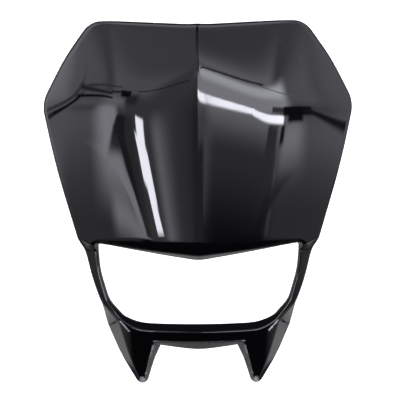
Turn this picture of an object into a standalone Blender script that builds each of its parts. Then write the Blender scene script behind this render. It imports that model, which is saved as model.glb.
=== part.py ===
"""Headlight mask of an off-road motorcycle: one shell moulded in gloss black plastic.

The shell is a folded number plate over a lamp opening, two thin arms beside the opening, and a chin with two
fangs. It is one closed section carried round the opening. Metres, +Z up, the front faces -Y, x = 0 is the
mirror plane, z = 0 is the height of the shoulders and y = 0 is the plane behind the shoulders' rear edge.
"""

import math
from dataclasses import dataclass, replace

import bmesh
import bpy
import numpy as np

# Walls
WALL = 0.0025
ARM_WALL = 0.0016
FANG_WALL = 0.0020
ARM_WEB = 0.0075
LEAST_ROUNDING = 0.0003

# The main sizes: half the width over the shoulders, the crest, and the lamp opening between brow and chin
HALF_WIDTH = 0.1338
CREST_Z = 0.0546
BROW_Z = -0.1330
OPENING_HALF_WIDTH = HALF_WIDTH - 0.0496
CHIN_TOP_Z = BROW_Z - 0.0508

# The plate's outline, half of it (x, z), and where the rounding of each corner begins
TOP_CORNER_X = HALF_WIDTH - 0.0437
TOP_CORNER_Z = CREST_Z + 0.0118
UPPER_SIDE_X = HALF_WIDTH - 0.0205
UPPER_SIDE_Z = CREST_Z - 0.0180
SHOULDER_Z = 0.0
CREST_EASE = 0.0140
TOP_CORNER_EASE = 0.0100
UPPER_SIDE_EASE = 0.0120
SHOULDER_EASE = 0.0102
SIDE_BOW = 0.0025
SIDE_BOW_SHARE = 0.48
SIDE_BOW_EASE = 0.0260
HEEL_WIDTH = 0.0159
HEEL_RISE = 0.0058
HEEL_EASE = 0.0030
PLATE_FLARE = 0.0004
HEEL_FLARE = 0.0003

# The lamp opening's rear edge, half of it, and how far its front edge lies outside it
BROW_RISE = 0.0132
BROW_CREST_EASE = 0.0060
BROW_EASE = 0.0050
BROW_END_EASE = 0.0024
SIDE_INSET = 0.0002
SIDE_DROP = 0.0072
SIDE_EASE = 0.0022
LOWER_SIDE_INSET = 0.0019
LOWER_SIDE_RISE = 0.0408
LOWER_SIDE_EASE = 0.0080
OPENING_CORNER_INSET = 0.0098
OPENING_CORNER_RISE = 0.0172
OPENING_CORNER_EASE = 0.0055
OPENING_FOOT_INSET = 0.0222
OPENING_FOOT_RISE = 0.0052
OPENING_FOOT_EASE = 0.0022
CHIN_LIP_EASE = 0.0014
CHIN_END_EASE = 0.0030
CHIN_EASE = 0.0100
BROW_DRAFT_SHIFT = 0.0049
BROW_END_SHIFT = 0.0013
SIDE_DRAFT_SHIFT = -0.0006
CHIN_DRAFT_SHIFT = 0.0031

# Arms, chin and fangs
NECK_WIDTH = 0.0097
NECK_DROP = 0.0014
NECK_EASE = 0.0045
ARM_WIDTH = 0.0060
ARM_DROP = 0.0050
ELBOW_WIDTH = 0.0058
ELBOW_DROP = 0.0017
ELBOW_EASE = 0.0045
ROOT_WIDTH = 0.0035
ROOT_DROP = 0.0044
ROOT_EASE = 0.0030
ROOT_SHIFT_SHARE = 0.3
OUTER_SHIFT_SHARE = 0.6
TIP_SHIFT_SHARE = 0.85
CHIN_HEIGHT = 0.0124
CROTCH_X = 0.0352
CROTCH_OFFSET = 0.0052
CROTCH_DROP = 0.0004
CROTCH_EASE = 0.0030
CROTCH_FLARE_SHARE = 0.62
FANG_LENGTH = 0.0443
FANG_TIP_X = 0.0473
FANG_TIP_EASE = 0.0066
FANG_OUTER_X = 0.0580
FANG_OUTER_DROP = 0.0156
FANG_OUTER_EASE = 0.0080
FANG_INNER_X = 0.0415
FANG_INNER_DROP = 0.0188
FANG_INNER_EASE = 0.0060
ELBOW_FLARE = 0.0021
ROOT_FLARE = 0.0117
FANG_OUTER_FLARE = 0.0088
FANG_INNER_FLARE = 0.0045
CHIN_FLARE = 0.0094
FANG_TIP_FLARE = 0.0019

# How far each wall goes back from the front edge, and the roundings of the front edges
PLATE_RETURN = 0.0112
NECK_RETURN = 0.0105
ARM_RETURN = 0.0130
ELBOW_RETURN = 0.0160
CHIN_RETURN = 0.0160
FANG_RETURN = 0.0220
FANG_TIP_RETURN = 0.0130
CREST_ROLL = 0.0045
SIDE_ROLL = 0.0030
ARM_ROLL = 0.0024
RIDGE_ROLL = 0.0016
BROW_ROLL = 0.0125
BROW_END_ROLL = 0.0036
LIP_ROLL = 0.0020

# The plate's facets
BROW_FORWARD = 0.0998
CREASE_FALL = math.tan(math.radians(12))
PLATE_LEAN = math.tan(math.radians(4))
FLANK_FALL = 0.541
FLANK_X = 0.0578
FLANK_SLANT = 0.1855
FLANK_ROUNDING = 0.0140
EDGE_FALL = 0.150
EDGE_X = 0.0970
EDGE_ROUNDING = 0.0200
CAP_LEAN = 0.334
CAP_Z = 0.0175
CAP_SLANT = 0.397
CAP_HALF_WIDTH = 0.0569
CAP_ROUNDING = 0.0120
CREASE_ROUNDING = 0.0015

# The frame round the lamp, and the lamp's seat behind it
CHIN_FORWARD = 0.0738
FRAME_SWEEP = 0.0360
SWEEP_HALF_WIDTH = 0.0880
SWEEP_POWER = 2.0
FANG_SWEEP = math.tan(math.radians(32))
FANG_BEND_DROP = 0.0052
FANG_BEND_ROUNDING = 0.0010
FANG_BEND_EASE = 0.0040
FANG_BEND_X = 0.0545
FANG_BEND_SLANT = 0.93
SEAT_BACK = 0.0180

# Fixings moulded on the hidden side
PEG_DIAMETER = 0.0070
PEG_HEAD_DIAMETER = 0.0120
PEG_HEAD = 0.0030
PEG_LENGTH = 0.0170
UPPER_PEG = (0.0960, -0.0060)
LOWER_PEG = (0.0760, -0.1010)
BOSS_DIAMETER = 0.0090
BOSS_PILOT = 0.0032
BOSS_PILOT_DEPTH = 0.0140
BOSS = (0.0380, -0.1125)
BOSS_BACK = 0.0493
TAB_WIDTH = 0.0160
TAB_THICKNESS = 0.0030
TAB_FRONT = 0.0640
TAB_BACK = 0.0413
TAB_DROP = 0.0024
TAB_HOLE_SETBACK = 0.0065
TAB_HOLE = 0.0052
OVERLAP = 0.0008

# Mesh resolution
FILLET_SHARE = 0.25
HEEL_STATION = 5
ROUND_SEGMENTS = 20


@dataclass(frozen=True)
class Corner:
    """A corner of the outline, with the corner of the lamp opening that it is joined to.

    edge is the outer front edge (x, z) and hole the opening's rear edge. Each ease is the distance from the
    corner at which its rounding begins. shift is how far the opening's front edge lies outside the rear one,
    flare how far the outer rear edge lies outside the front one, and depth how far it lies behind it. web is
    the thickness of the face and wall that of the walls. steps is the number of rows of mesh that follow.
    """

    edge: tuple
    edge_ease: float
    hole: tuple
    hole_ease: float
    shift: float
    flare: float
    depth: float
    lip_roll: float
    edge_roll: float
    wall: float
    web: float
    steps: int


def bowed(start, end, share, distance):
    """A point this share of the way from start to end, and a distance out from the straight line."""
    run, drop = end[0] - start[0], end[1] - start[1]
    length = math.hypot(run, drop)
    x = start[0] + run * share - drop / length * distance
    return (x, start[1] + drop * share + run / length * distance)


def along_brow(share):
    """The point this share of the way from the brow's centre to its end."""
    return (OPENING_HALF_WIDTH * share, BROW_Z + BROW_RISE * share)


def along_chin(share):
    """The point this share of the way from the opening's foot to the chin's end, on a parabola."""
    foot_x = OPENING_HALF_WIDTH - OPENING_FOOT_INSET
    end_x = CROTCH_X + CROTCH_OFFSET
    return (foot_x + (end_x - foot_x) * share, CHIN_TOP_Z + OPENING_FOOT_RISE * (1 - share) ** 2)


def brow_value(centre, end, share):
    return centre + (end - centre) * share


def plate_corner(edge, edge_ease, share, hole_ease, edge_roll, steps):
    """A corner of the plate, joined to the point this share of the way along the brow."""
    return Corner(
        edge=edge,
        edge_ease=edge_ease,
        hole=along_brow(share),
        hole_ease=hole_ease,
        shift=brow_value(BROW_DRAFT_SHIFT, BROW_END_SHIFT, share),
        flare=PLATE_FLARE,
        depth=PLATE_RETURN,
        lip_roll=brow_value(BROW_ROLL, BROW_END_ROLL, share),
        edge_roll=edge_roll,
        wall=WALL,
        web=WALL,
        steps=steps,
    )


def arm_corner(hole, hole_ease, across, down, edge_ease, flare, depth, steps):
    """A corner of an arm, whose edge lies across and down from the opening's corner."""
    return Corner(
        edge=(hole[0] + across, hole[1] - down),
        edge_ease=edge_ease,
        hole=hole,
        hole_ease=hole_ease,
        shift=SIDE_DRAFT_SHIFT,
        flare=flare,
        depth=depth,
        lip_roll=LIP_ROLL,
        edge_roll=ARM_ROLL,
        wall=ARM_WALL,
        web=ARM_WEB,
        steps=steps,
    )


def chin_corner(edge, edge_ease, hole, hole_ease, shift_share, flare, depth, wall, steps):
    """A corner of the chin or a fang."""
    return Corner(
        edge=edge,
        edge_ease=edge_ease,
        hole=hole,
        hole_ease=hole_ease,
        shift=CHIN_DRAFT_SHIFT * shift_share,
        flare=flare,
        depth=depth,
        lip_roll=LIP_ROLL,
        edge_roll=RIDGE_ROLL,
        wall=wall,
        web=WALL,
        steps=steps,
    )


def corners():
    """The corners from the crest's centre, round one side of the mask, to the chin's centre."""
    chin_edge = CHIN_TOP_Z - CHIN_HEIGHT
    side = (OPENING_HALF_WIDTH - SIDE_INSET, BROW_Z + BROW_RISE - SIDE_DROP)
    lower_side = (OPENING_HALF_WIDTH - LOWER_SIDE_INSET, CHIN_TOP_Z + LOWER_SIDE_RISE)
    lower_corner = (OPENING_HALF_WIDTH - OPENING_CORNER_INSET, CHIN_TOP_Z + OPENING_CORNER_RISE)
    foot = along_chin(0)
    brow_end = along_brow(1)
    shoulder = (HALF_WIDTH, SHOULDER_Z)
    heel = (brow_end[0] + HEEL_WIDTH, brow_end[1] + HEEL_RISE)
    side_bow = bowed(shoulder, heel, SIDE_BOW_SHARE, SIDE_BOW)
    return [
        plate_corner((0, CREST_Z), CREST_EASE, 0, BROW_CREST_EASE, CREST_ROLL, 3),
        plate_corner((TOP_CORNER_X, TOP_CORNER_Z), TOP_CORNER_EASE, 0.30, BROW_CREST_EASE, CREST_ROLL, 1),
        plate_corner((UPPER_SIDE_X, UPPER_SIDE_Z), UPPER_SIDE_EASE, 0.54, BROW_EASE, SIDE_ROLL, 1),
        plate_corner(shoulder, SHOULDER_EASE, 0.76, BROW_EASE, SIDE_ROLL, 2),
        plate_corner(side_bow, SIDE_BOW_EASE, 0.88, BROW_EASE, SIDE_ROLL, 2),
        replace(
            plate_corner(heel, HEEL_EASE, 1, BROW_END_EASE, ARM_ROLL, 3), wall=ARM_WALL, flare=HEEL_FLARE
        ),
        arm_corner(side, SIDE_EASE, NECK_WIDTH, NECK_DROP, NECK_EASE, 0, NECK_RETURN, 1),
        arm_corner(lower_side, LOWER_SIDE_EASE, ARM_WIDTH, ARM_DROP, LOWER_SIDE_EASE, 0, ARM_RETURN, 1),
        arm_corner(
            lower_corner, OPENING_CORNER_EASE, ELBOW_WIDTH, ELBOW_DROP, ELBOW_EASE,
            ELBOW_FLARE, ELBOW_RETURN, 2,
        ),
        chin_corner(
            (foot[0] + ROOT_WIDTH, foot[1] - ROOT_DROP), ROOT_EASE, foot, OPENING_FOOT_EASE,
            ROOT_SHIFT_SHARE, ROOT_FLARE, FANG_RETURN, ARM_WALL, 1,
        ),
        chin_corner(
            (FANG_OUTER_X, chin_edge - FANG_OUTER_DROP), FANG_OUTER_EASE, along_chin(0.25), CHIN_LIP_EASE,
            OUTER_SHIFT_SHARE, FANG_OUTER_FLARE, FANG_RETURN, FANG_WALL, 1,
        ),
        chin_corner(
            (FANG_TIP_X, chin_edge - FANG_LENGTH), FANG_TIP_EASE, along_chin(0.48), CHIN_LIP_EASE,
            TIP_SHIFT_SHARE, FANG_TIP_FLARE, FANG_TIP_RETURN, FANG_WALL, 1,
        ),
        chin_corner(
            (FANG_INNER_X, chin_edge - FANG_INNER_DROP), FANG_INNER_EASE, along_chin(0.72), CHIN_LIP_EASE,
            1, FANG_INNER_FLARE, FANG_RETURN, FANG_WALL, 1,
        ),
        chin_corner(
            (CROTCH_X, chin_edge - CROTCH_DROP), CROTCH_EASE, along_chin(1), CHIN_END_EASE,
            1, CHIN_FLARE * CROTCH_FLARE_SHARE, CHIN_RETURN, WALL, 2,
        ),
        chin_corner(
            (0, chin_edge), CHIN_EASE, (0, CHIN_TOP_Z), CHIN_EASE,
            1, CHIN_FLARE, CHIN_RETURN, WALL, 2,
        ),
    ]


def unit(vectors):
    return vectors / np.linalg.norm(vectors, axis=-1, keepdims=True)


def neighbours(points):
    """Directions into and out of each point, the first and last being on the mirror plane."""
    mirror = np.array([-1.0, 1.0])
    line = np.vstack([points[1] * mirror, points, points[-2] * mirror])
    return unit(line[1:-1] - line[:-2]), unit(line[2:] - line[1:-1])


def offset(points, eases, distance):
    """Moves a line of corners outward by a distance given for each, and scales the roundings to suit."""
    before, after = neighbours(points)
    turn = np.arctan2(before[:, 0] * after[:, 1] - before[:, 1] * after[:, 0], (before * after).sum(1))
    outward = unit(np.column_stack([-(before[:, 1] + after[:, 1]), before[:, 0] + after[:, 0]]))
    half = np.minimum(np.cos(turn / 2), 1.0)
    moved = points + outward * (distance / half)[:, None]
    return moved, np.maximum(eases - distance * np.tan(turn / 2), LEAST_ROUNDING)


def rail(points, eases, stations):
    """Points of a rounded line of corners; a whole station is the middle of that corner's rounding."""
    before, after = neighbours(points)
    lengths = np.linalg.norm(np.diff(points, axis=0), axis=1)
    room = np.concatenate([[lengths[0]], np.minimum(lengths[:-1], lengths[1:]), [lengths[-1]]])
    eases = np.minimum(eases, 0.47 * room)
    start = points - before * eases[:, None]
    end = points + after * eases[:, None]
    weight = np.sqrt(np.maximum((1 + (before * after).sum(1)) / 2, 0.0))
    index = np.minimum(np.floor(stations).astype(int), len(points) - 2)
    local = stations - index
    leaving = np.clip(local / FILLET_SHARE, 0, 1) / 2 + 0.5
    arriving = np.clip((local - 1 + FILLET_SHARE) / FILLET_SHARE, 0, 1) / 2
    straight = np.clip((local - FILLET_SHARE) / (1 - 2 * FILLET_SHARE), 0, 1)[:, None]

    def arc(corner, share):
        parts = ((1 - share) ** 2, 2 * weight[corner] * share * (1 - share), share**2)
        first, middle, last = (part[:, None] for part in parts)
        mixed = start[corner] * first + points[corner] * middle + end[corner] * last
        return mixed / (first + middle + last)

    line = end[index] * (1 - straight) + start[index + 1] * straight
    found = np.where((local < FILLET_SHARE)[:, None], arc(index, leaving), line)
    return np.where((local > 1 - FILLET_SHARE)[:, None], arc(index + 1, arriving), found)


def rise(distance, rounding):
    """A ramp that starts at zero with a rounded foot."""
    return (distance + np.sqrt(distance**2 + rounding**2)) / 2


def plate_forward(x, z):
    """How far the folded plate stands forward."""
    x = np.abs(x)
    crease = np.sqrt(x**2 + CREASE_ROUNDING**2) - CREASE_ROUNDING
    flank_x = FLANK_X + FLANK_SLANT * (z - CAP_Z + CAP_SLANT * CAP_HALF_WIDTH)
    cap_z = CAP_Z - CAP_SLANT * (x - rise(x - CAP_HALF_WIDTH, CAP_ROUNDING))
    return (
        BROW_FORWARD
        - CREASE_FALL * crease
        - PLATE_LEAN * (z - BROW_Z)
        - FLANK_FALL * rise(x - flank_x, FLANK_ROUNDING)
        - EDGE_FALL * rise(x - EDGE_X, EDGE_ROUNDING)
        - CAP_LEAN * rise(z - cap_z, CAP_ROUNDING)
    )


def frame_forward(x, z):
    """How far the arms, the chin and the fangs stand forward."""
    sweep = FRAME_SWEEP * (np.abs(x) / SWEEP_HALF_WIDTH) ** SWEEP_POWER
    bend_z = CHIN_TOP_Z - FANG_BEND_DROP + FANG_BEND_SLANT * rise(np.abs(x) - FANG_BEND_X, FANG_BEND_EASE)
    return CHIN_FORWARD - sweep - FANG_SWEEP * rise(bend_z - z, FANG_BEND_ROUNDING)


def seat_forward(x):
    """How far the lamp's seat stands forward."""
    return CHIN_FORWARD - SEAT_BACK - FRAME_SWEEP * (np.abs(x) / SWEEP_HALF_WIDTH) ** SWEEP_POWER


def face_forward(stations, x, z):
    """The face: the plate above the brow's ends, and the frame below them."""
    share = np.clip((stations - HEEL_STATION - 0.1) / 0.8, 0, 1)
    share = share * share * (3 - 2 * share)
    return plate_forward(x, z) * (1 - share) + frame_forward(x, z) * share


def skin(stations, inward, rows):
    """One skin of the shell as an array of points [station, row], from the opening's rear edge outward.

    inward is 0 for the outer skin and 1 for the inner skin, which lies a wall's thickness inside it.
    """
    table = corners()
    names = Corner.__dataclass_fields__
    column = {name: np.array([getattr(c, name) for c in table], float) for name in names}
    wall = column["wall"] * inward
    hole = np.array([c.hole for c in table], float)
    edge = np.array([c.edge for c in table], float)
    rear, rear_ease = offset(hole, column["hole_ease"], wall)
    lip, lip_ease = offset(hole, column["hole_ease"], column["shift"] + wall)
    outer, outer_ease = offset(edge, column["edge_ease"], -wall)
    skirt, skirt_ease = offset(edge, column["edge_ease"], column["flare"])
    skirt, skirt_ease = offset(skirt, skirt_ease, -wall)
    edge_roll = np.maximum(column["edge_roll"] - wall, LEAST_ROUNDING)
    lip_roll = np.maximum(column["lip_roll"] - wall, LEAST_ROUNDING)
    band, band_ease = offset(outer, outer_ease, -edge_roll)

    a = rail(rear, rear_ease, stations)
    b = rail(lip, lip_ease, stations)
    m = rail(band, band_ease, stations)
    c = rail(outer, outer_ease, stations)
    d = rail(skirt, skirt_ease, stations)

    def blend(values):
        return np.interp(stations, np.arange(len(values)), values)

    b_roll, c_roll = blend(lip_roll), blend(edge_roll)
    depth, web = blend(column["depth"]), blend(column["web"]) * inward
    ray = m - b
    span = np.linalg.norm(ray, axis=1)
    b_roll = np.minimum(b_roll, 0.9 * span)

    plan, drop = [], []
    for angle in np.linspace(0, math.pi / 2, rows["lip"] + 1):
        share = b_roll * (1 - math.cos(angle)) / span
        plan.append(b + ray * share[:, None])
        drop.append(b_roll * (1 - math.sin(angle)))
    for step in np.linspace(0, 1, rows["face"] + 1)[1:]:
        share = b_roll / span * (1 - step) + step
        plan.append(b + ray * share[:, None])
        drop.append(np.zeros_like(span))
    for angle in np.linspace(0, math.pi / 2, rows["edge"] + 1)[1:]:
        plan.append(m + (c - m) * math.sin(angle))
        drop.append(c_roll * (1 - math.cos(angle)))
    plan, drop = np.stack(plan, 1), np.stack(drop, 1)
    forward = face_forward(stations[:, None], plan[:, :, 0], plan[:, :, 1])
    if inward:
        surface = np.dstack([plan[:, :, 0], forward, plan[:, :, 1]])
        across = np.cross(np.gradient(surface, axis=0), np.gradient(surface, axis=1))
        slope = np.abs(across[:, :, 1]) / np.maximum(np.linalg.norm(across, axis=2), 1e-12)
        forward = forward - web[:, None] / np.clip(slope, 0.5, 1)
    forward = forward - drop
    back = face_forward(stations, c[:, 0], c[:, 1]) - c_roll - depth
    if inward:
        true_edge = rail(edge, column["edge_ease"], stations)
        back = face_forward(stations, true_edge[:, 0], true_edge[:, 1]) - blend(column["edge_roll"]) - depth
    seat = seat_forward(rail(hole, column["hole_ease"], stations)[:, 0])
    forward[:, 0] = np.maximum(forward[:, 0], seat + 0.001)
    first = np.dstack([a[:, None, 0], seat[:, None], a[:, None, 1]])
    last = np.dstack([d[:, None, 0], back[:, None], d[:, None, 1]])
    middle = np.dstack([plan[:, :, 0], forward, plan[:, :, 1]])
    return np.concatenate([first, middle, last], axis=1)


def station_numbers():
    """Station numbers of one half, closer together where the corners are rounded."""
    found = []
    table = corners()
    for index, corner in enumerate(table[:-1]):
        found += [index, index + FILLET_SHARE / 2, index + FILLET_SHARE]
        inner = np.linspace(FILLET_SHARE, 1 - FILLET_SHARE, corner.steps + 1)[1:-1]
        found += [index + share for share in inner]
        found += [index + 1 - FILLET_SHARE, index + 1 - FILLET_SHARE / 2]
    return np.array(found + [len(table) - 1], float)


def material():
    """Gloss black moulded plastic."""
    plastic = bpy.data.materials.new("gloss_black_plastic")
    plastic.use_nodes = True
    shader = plastic.node_tree.nodes["Principled BSDF"]
    shader.inputs["Base Color"].default_value = (0.004, 0.004, 0.0045, 1)
    shader.inputs["Metallic"].default_value = 0
    shader.inputs["Roughness"].default_value = 0.06
    return plastic


def link(name, mesh, plastic):
    mesh.materials.append(plastic)
    mesh.shade_smooth()
    thing = bpy.data.objects.new(name, mesh)
    bpy.context.scene.collection.objects.link(thing)
    return thing


def shell(plastic):
    """The closed shell: outer and inner skin, joined at the opening's rear edge and the outer rear edge."""
    stations = station_numbers()
    outer = skin(stations, 0, {"lip": 3, "face": 12, "edge": 3})
    inner = skin(stations, 1, {"lip": 2, "face": 9, "edge": 1})[:, ::-1]
    half = np.concatenate([outer, inner], axis=1)
    half[0, :, 0] = 0
    half[-1, :, 0] = 0
    other = half[1:-1][::-1] * np.array([-1.0, 1.0, 1.0])
    ring = np.concatenate([half, other], axis=0)
    build = bmesh.new()
    grid = [[build.verts.new((x, -forward, z)) for x, forward, z in row] for row in ring]
    count, rows = ring.shape[:2]
    for i in range(count):
        for j in range(rows):
            k, m = (i + 1) % count, (j + 1) % rows
            build.faces.new((grid[i][j], grid[k][j], grid[k][m], grid[i][m]))
    bmesh.ops.recalc_face_normals(build, faces=build.faces)
    mesh = bpy.data.meshes.new("mask_shell")
    build.to_mesh(mesh)
    build.free()
    return link("mask_shell", mesh, plastic)


def rod(name, diameter, front, rear, x, z, plastic, rooted=False):
    """A round rod along Y between two forward distances; a rooted one's front end is let into the plate."""
    build = bmesh.new()
    radius = diameter / 2
    bmesh.ops.create_cone(
        build, cap_ends=True, segments=ROUND_SEGMENTS, radius1=radius, radius2=radius, depth=1
    )
    for vert in build.verts:
        across, up, along = vert.co
        forward = front if along > 0 else rear
        if along > 0 and rooted:
            forward = inner_face(x + across, z + up) + OVERLAP
        vert.co = (x + across, -forward, z + up)
    bmesh.ops.recalc_face_normals(build, faces=build.faces)
    mesh = bpy.data.meshes.new(name)
    build.to_mesh(mesh)
    build.free()
    return link(name, mesh, plastic)


def slab(name, low, high, plastic):
    """A box between two opposite corners (x, y, z)."""
    build = bmesh.new()
    bmesh.ops.create_cube(build, size=1)
    mesh = bpy.data.meshes.new(name)
    bmesh.ops.scale(build, vec=[h - l for l, h in zip(low, high)], verts=build.verts)
    build.to_mesh(mesh)
    build.free()
    thing = link(name, mesh, plastic)
    thing.location = [(l + h) / 2 for l, h in zip(low, high)]
    return thing


def drill(name, diameter, depth, centre, plastic):
    """An upright round cutter."""
    build = bmesh.new()
    radius = diameter / 2
    bmesh.ops.create_cone(
        build, cap_ends=True, segments=ROUND_SEGMENTS, radius1=radius, radius2=radius, depth=depth
    )
    mesh = bpy.data.meshes.new(name)
    build.to_mesh(mesh)
    build.free()
    thing = link(name, mesh, plastic)
    thing.location = centre
    return thing


def combine(target, tool, operation):
    """Joins a hidden tool to the target, or cuts it out of it."""
    tool.hide_render = True
    tool.display_type = "WIRE"
    step = target.modifiers.new(tool.name, "BOOLEAN")
    step.operation = operation
    step.solver = "EXACT"
    step.object = tool


def inner_face(x, z):
    """Forward distance of the plate's hidden side."""
    step = 0.001
    slope_x = (plate_forward(x + step, z) - plate_forward(x - step, z)) / (2 * step)
    slope_z = (plate_forward(x, z + step) - plate_forward(x, z - step)) / (2 * step)
    return plate_forward(x, z) - WALL * math.sqrt(1 + slope_x**2 + slope_z**2)


def add_fixings(target, plastic):
    """Strap pegs, lamp bosses and the beam tab, all hidden from the front."""
    for side, sign in (("right", 1), ("left", -1)):
        for level, (x, z) in (("upper", UPPER_PEG), ("lower", LOWER_PEG)):
            end = inner_face(x, z) - PEG_LENGTH
            name = f"peg_{level}_{side}"
            peg = rod(name, PEG_DIAMETER, 0, end + PEG_HEAD / 2, sign * x, z, plastic, rooted=True)
            combine(target, peg, "UNION")
            head = rod(f"{name}_head", PEG_HEAD_DIAMETER, end + PEG_HEAD, end, sign * x, z, plastic)
            combine(target, head, "UNION")
        x, z = BOSS
        boss = rod(f"boss_{side}", BOSS_DIAMETER, 0, BOSS_BACK, sign * x, z, plastic, rooted=True)
        combine(target, boss, "UNION")
        pilot_end = BOSS_BACK + BOSS_PILOT_DEPTH
        pilot = rod(f"pilot_{side}", BOSS_PILOT, pilot_end, BOSS_BACK - 0.002, sign * x, z, plastic)
        combine(target, pilot, "DIFFERENCE")
    tab_top = CHIN_TOP_Z - TAB_DROP
    low = (-TAB_WIDTH / 2, -TAB_FRONT, tab_top - TAB_THICKNESS)
    combine(target, slab("beam_tab", low, (TAB_WIDTH / 2, -TAB_BACK, tab_top), plastic), "UNION")
    centre = (0, -(TAB_BACK + TAB_HOLE_SETBACK), tab_top - TAB_THICKNESS / 2)
    combine(target, drill("beam_tab_hole", TAB_HOLE, 3 * TAB_THICKNESS, centre, plastic), "DIFFERENCE")


def main():
    for old in list(bpy.data.objects):
        bpy.data.objects.remove(old, do_unlink=True)
    plastic = material()
    body = shell(plastic)
    add_fixings(body, plastic)


main()
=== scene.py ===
"""Headlight mask of an off-road motorcycle, one shell of gloss black ABS, in a plain white studio.

The CAD shell is drawn again with a fine mesh, so that its gloss shows the folds, the rolled edges and the
waviness of a real moulding. Metres; the front faces -Y, x = 0 is the mirror plane and y = 0 the back plane.
"""

import logging
import math
from dataclasses import dataclass, field
from enum import Enum

import bpy
import numpy as np
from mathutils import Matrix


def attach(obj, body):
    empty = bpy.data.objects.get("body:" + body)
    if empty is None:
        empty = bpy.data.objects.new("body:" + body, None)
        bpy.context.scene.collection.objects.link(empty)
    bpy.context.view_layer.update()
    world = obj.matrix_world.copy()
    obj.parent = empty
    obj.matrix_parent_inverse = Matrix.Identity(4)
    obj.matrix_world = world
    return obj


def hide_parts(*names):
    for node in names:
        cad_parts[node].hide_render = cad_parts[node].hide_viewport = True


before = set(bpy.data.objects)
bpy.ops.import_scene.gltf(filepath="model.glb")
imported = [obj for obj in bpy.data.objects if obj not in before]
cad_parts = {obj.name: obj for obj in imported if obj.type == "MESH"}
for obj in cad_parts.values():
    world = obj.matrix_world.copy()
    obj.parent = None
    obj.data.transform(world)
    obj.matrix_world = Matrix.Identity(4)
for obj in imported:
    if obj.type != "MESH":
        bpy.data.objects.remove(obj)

log = logging.getLogger("headlight_mask")
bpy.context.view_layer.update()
# A corner's share of the stations on either side of it, and the most that its rounding takes of a straight
FILLET_SHARE = 0.25
EASE_LIMIT = 0.47
# The least rounding that stays, and the radius at which a turned profile closes on its axis, in metres
LEAST_ROUNDING = 0.0003
AXIS_RADIUS = 1e-5


def unit(vectors: np.ndarray) -> np.ndarray:
    """Each vector divided by its own length."""
    return vectors / np.maximum(np.linalg.norm(vectors, axis=-1, keepdims=True), 1e-12)


def rise(distance: np.ndarray, rounding: float) -> np.ndarray:
    """A ramp with a rounded foot: half of the distance plus the root of its square and the rounding's."""
    return (distance + np.sqrt(distance**2 + rounding**2)) / 2


def smooth(share: np.ndarray) -> np.ndarray:
    """Three times the square less twice the cube of a share held between 0 and 1."""
    held = np.clip(share, 0, 1)
    return held * held * (3 - 2 * held)


@dataclass
class Corner:
    """A corner of the outline, with the corner of the lamp opening that it is joined to."""

    edge: tuple[float, float]
    edge_ease: float
    hole: tuple[float, float]
    hole_ease: float
    shift: float
    flare: float
    depth: float
    lip_roll: float
    edge_roll: float
    wall: float
    web: float
    steps: int


@dataclass
class PlateFacets:
    """The folded number plate: how far its facets stand forward."""

    brow: float = 0.0998
    brow_z: float = -0.1330
    crease_fall: float = math.tan(math.radians(12))
    crease_rounding: float = 0.0011
    lean: float = math.tan(math.radians(4))
    flank_fall: float = 0.541
    flank_x: float = 0.0578
    flank_slant: float = 0.1855
    flank_rounding: float = 0.0140
    edge_fall: float = 0.150
    edge_x: float = 0.0970
    edge_rounding: float = 0.0200
    cap_lean: float = 0.334
    cap_z: float = 0.0175
    cap_slant: float = 0.397
    cap_half_width: float = 0.0569
    cap_rounding: float = 0.0120

    def forward(self, x: np.ndarray, z: np.ndarray) -> np.ndarray:
        """The brow's height, less one rounded ramp for each fold, at a place on the plate.

        Args:
            x: distance from the mirror plane.
            z: height.

        Returns:
            Distance forward of the back plane.
        """
        x = np.abs(x)
        crease = np.sqrt(x**2 + self.crease_rounding**2) - self.crease_rounding
        flank_x = self.flank_x + self.flank_slant * (z - self.cap_z + self.cap_slant * self.cap_half_width)
        cap_z = self.cap_z - self.cap_slant * (x - rise(x - self.cap_half_width, self.cap_rounding))
        return (
            self.brow
            - self.crease_fall * crease
            - self.lean * (z - self.brow_z)
            - self.flank_fall * rise(x - flank_x, self.flank_rounding)
            - self.edge_fall * rise(x - self.edge_x, self.edge_rounding)
            - self.cap_lean * rise(z - cap_z, self.cap_rounding)
        )


@dataclass
class LampFrame:
    """The arms, chin and fangs round the lamp, and the lamp's seat behind them."""

    chin: float = 0.0738
    sweep: float = 0.0360
    half_width: float = 0.0880
    power: float = 2.0
    fang_sweep: float = math.tan(math.radians(32))
    bend_z: float = -0.1890
    bend_rounding: float = 0.0010
    bend_x: float = 0.0545
    bend_slant: float = 0.93
    bend_side_rounding: float = 0.0040
    seat_back: float = 0.0180

    def forward(self, x: np.ndarray, z: np.ndarray) -> np.ndarray:
        """The chin's height, less a power of the distance from the mirror plane and a ramp down the fangs.

        Args:
            x: distance from the mirror plane.
            z: height.

        Returns:
            Distance forward of the back plane.
        """
        swept = self.sweep * (np.abs(x) / self.half_width) ** self.power
        bend_z = self.bend_z + self.bend_slant * rise(np.abs(x) - self.bend_x, self.bend_side_rounding)
        return self.chin - swept - self.fang_sweep * rise(bend_z - z, self.bend_rounding)

    def seat(self, x: np.ndarray) -> np.ndarray:
        """The lamp's seat, a set distance behind the frame and swept back with it."""
        return self.chin - self.seat_back - self.sweep * (np.abs(x) / self.half_width) ** self.power


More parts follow.
